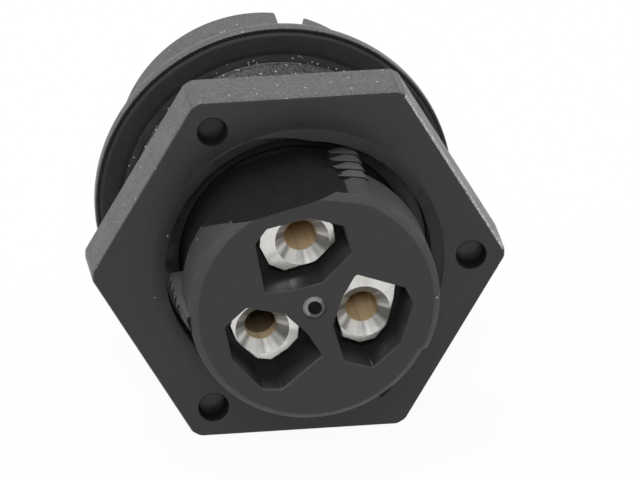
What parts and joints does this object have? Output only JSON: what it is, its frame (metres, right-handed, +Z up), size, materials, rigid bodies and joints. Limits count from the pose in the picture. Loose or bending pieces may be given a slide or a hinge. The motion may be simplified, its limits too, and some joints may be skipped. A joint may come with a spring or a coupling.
{
  "type": "panel-mount power connector",
  "caption": "Round black panel-mount power connector with a threaded housing, hexagon nut, flange seal, mating collar and recessed wire clamps at the rear.",
  "frame": {"origin": "centre of the footprint on the bench, with the connector lying on its nut and flange", "axes": "+Y along the connector's axis towards the mating end, -Y towards the wire entries, +Z up"},
  "size_m": [0.0286, 0.0286, 0.025],
  "materials": {
    "plastic": "fine-grained moulded glass-filled plastic",
    "rubber": "smooth matt rubber",
    "nickel": "turned and nickel plated",
    "brass": "turned brass"
  },
  "bodies": {
    "connector": {"housing": "plastic", "panel_seal": "rubber", "contact_carrier": "plastic", "carrier_seal": "rubber", "contact_top": "nickel", "contact_left": "nickel", "contact_right": "nickel"},
    "nut": {"panel_nut": "plastic"},
    "screw_top": {"clamp_screw_top": "brass"},
    "screw_left": {"clamp_screw_left": "brass"},
    "screw_right": {"clamp_screw_right": "brass"}
  },
  "joints": [
    {"name": "nut_travel", "type": "slide", "parent": "connector", "child": "nut", "axis": [0, -1, 0], "range_m": [-0.0075, 0.012]},
    {"name": "screw_top_travel", "type": "slide", "parent": "connector", "child": "screw_top", "axis": [0.1219, 0, -0.9925], "range_m": [0, 0.0011]},
    {"name": "screw_left_travel", "type": "slide", "parent": "connector", "child": "screw_left", "axis": [0.7986, 0, 0.6018], "range_m": [0, 0.0011]},
    {"name": "screw_right_travel", "type": "slide", "parent": "connector", "child": "screw_right", "axis": [-0.9205, 0, 0.3907], "range_m": [0, 0.0011]}
  ]
}
